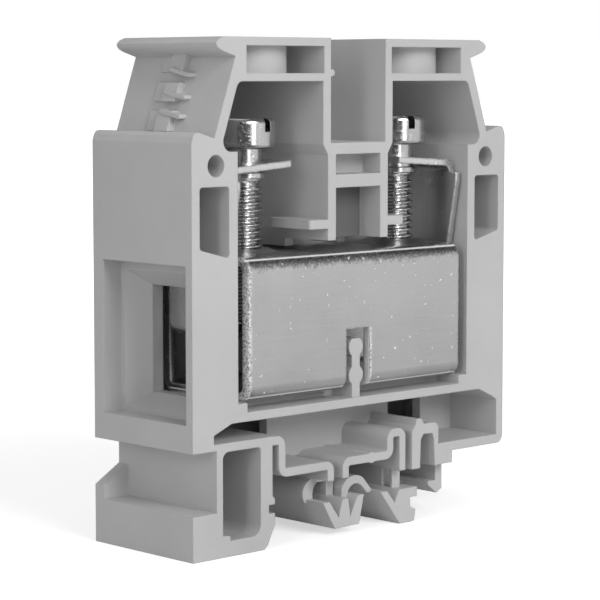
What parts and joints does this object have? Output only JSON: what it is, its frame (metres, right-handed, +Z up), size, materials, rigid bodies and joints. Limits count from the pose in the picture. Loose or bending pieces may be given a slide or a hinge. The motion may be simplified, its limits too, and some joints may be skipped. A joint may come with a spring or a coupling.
{
  "type": "screw terminal block",
  "caption": "Screw terminal block with an open moulded housing, a folded metal clamp body, stirrups drawn by screws and a foot with springs for a top-hat rail.",
  "frame": {"origin": "centre of the bounding box at its base, on the underside of the foot", "axes": "+X along the wires from the foot's hook side, +Y from the open front to the closed back, +Z up"},
  "size_m": [0.0626, 0.021, 0.0707],
  "materials": {
    "moulding": "satin moulded polyamide",
    "plated_sheet": "dull zinc plating",
    "plated_screw": "bright zinc plating"
  },
  "bodies": {
    "base": {"housing": "moulding", "clamp_body": "plated_sheet"},
    "left_stirrup": {"left_stirrup": "plated_sheet"},
    "right_stirrup": {"right_stirrup": "plated_sheet"},
    "left_screw": {"left_screw": "plated_screw"},
    "right_screw": {"right_screw": "plated_screw"}
  },
  "joints": [
    {"name": "left_clamp", "type": "slide", "parent": "base", "child": "left_stirrup", "axis": [0, 0, 1], "range_m": [-0.0064, 0.0048]},
    {"name": "left_screw_turn", "type": "hinge", "parent": "left_stirrup", "child": "left_screw", "pos_m": [-0.0152, -0.0025, 0.055], "axis": [0, 0, 1], "range_deg": [-2305, 1729]},
    {"name": "right_clamp", "type": "slide", "parent": "base", "child": "right_stirrup", "axis": [0, 0, 1], "range_m": [-0.0064, 0.0048]},
    {"name": "right_screw_turn", "type": "hinge", "parent": "right_stirrup", "child": "right_screw", "pos_m": [0.0152, -0.0025, 0.055], "axis": [0, 0, 1], "range_deg": [-2305, 1729]}
  ],
  "couplings": [
    {"joint": "left_screw_turn", "follows": "left_clamp", "rad_per_m": 6283.2},
    {"joint": "right_screw_turn", "follows": "right_clamp", "rad_per_m": 6283.2}
  ]
}
